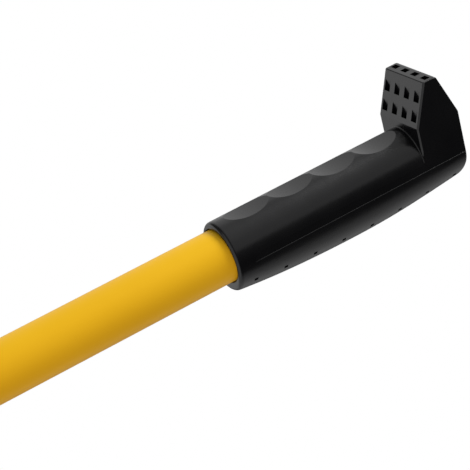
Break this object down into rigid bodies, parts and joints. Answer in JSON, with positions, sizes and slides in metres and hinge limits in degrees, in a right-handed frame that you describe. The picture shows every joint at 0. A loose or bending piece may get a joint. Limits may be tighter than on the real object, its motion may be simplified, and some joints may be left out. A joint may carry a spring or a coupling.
{
  "type": "roller extension pole",
  "caption": "Telescoping twist-lock pole for a paint roller, with a painted tube, a threaded tip and a contoured grip that ends in a raised hand stop.",
  "frame": {"origin": "on the pole's axis, at the shoulder that the roller frame's socket seats on, behind the tip's thread", "axes": "+X along the pole from the threaded tip to the grip, +Z to the finger side of the grip, where its end block stands up"},
  "size_m": [0.797, 0.037, 0.061],
  "materials": {
    "grip": "satin moulded polypropylene, fine grain",
    "moulding": "satin moulded plastic",
    "tube_paint": "satin yellow powder coat",
    "inner_metal": "drawn, lightly scratched along its length",
    "tip_metal": "zinc die casting",
    "steel": "plain",
    "rivet": "plain",
    "nylon": "natural nylon",
    "rubber": "soft"
  },
  "bodies": {
    "handle_side": {"handle_grip": "grip", "outer_tube": "tube_paint", "tube_end_plug": "moulding", "front_bush": "nylon", "collar_body": "moulding", "collar_rivets": "rivet", "collet": "nylon"},
    "nut_thrust": {"clamp_ring": "nylon", "thrust_washer": "steel"},
    "twist_collar": {"lock_nut": "moulding", "wiper_ring": "rubber"},
    "slide_carrier": {"rear_damper_ring": "rubber"},
    "sliding_section": {"inner_tube": "inner_metal", "rear_bush": "nylon", "rear_bush_pin": "steel", "threaded_tip": "tip_metal", "tip_ferrule": "moulding", "ferrule_rivets": "rivet", "tip_cross_pin": "steel"}
  },
  "joints": [
    {"name": "nut_advance", "type": "slide", "parent": "handle_side", "child": "nut_thrust", "axis": [-1, 0, 0], "range_m": [0, 0.00152]},
    {"name": "nut_twist", "type": "hinge", "parent": "nut_thrust", "child": "twist_collar", "pos_m": [0.076, 0, 0], "axis": [-1, 0, 0], "range_deg": [0, 180]},
    {"name": "inner_slide", "type": "slide", "parent": "handle_side", "child": "slide_carrier", "axis": [-1, 0, 0], "range_m": [0, 0.56]},
    {"name": "inner_spin", "type": "hinge", "parent": "slide_carrier", "child": "sliding_section", "pos_m": [0.35, 0, 0], "axis": [-1, 0, 0], "continuous": true}
  ],
  "couplings": [
    {"joint": "nut_advance", "follows": "nut_twist", "m_per_rad": 0.00047746}
  ]
}
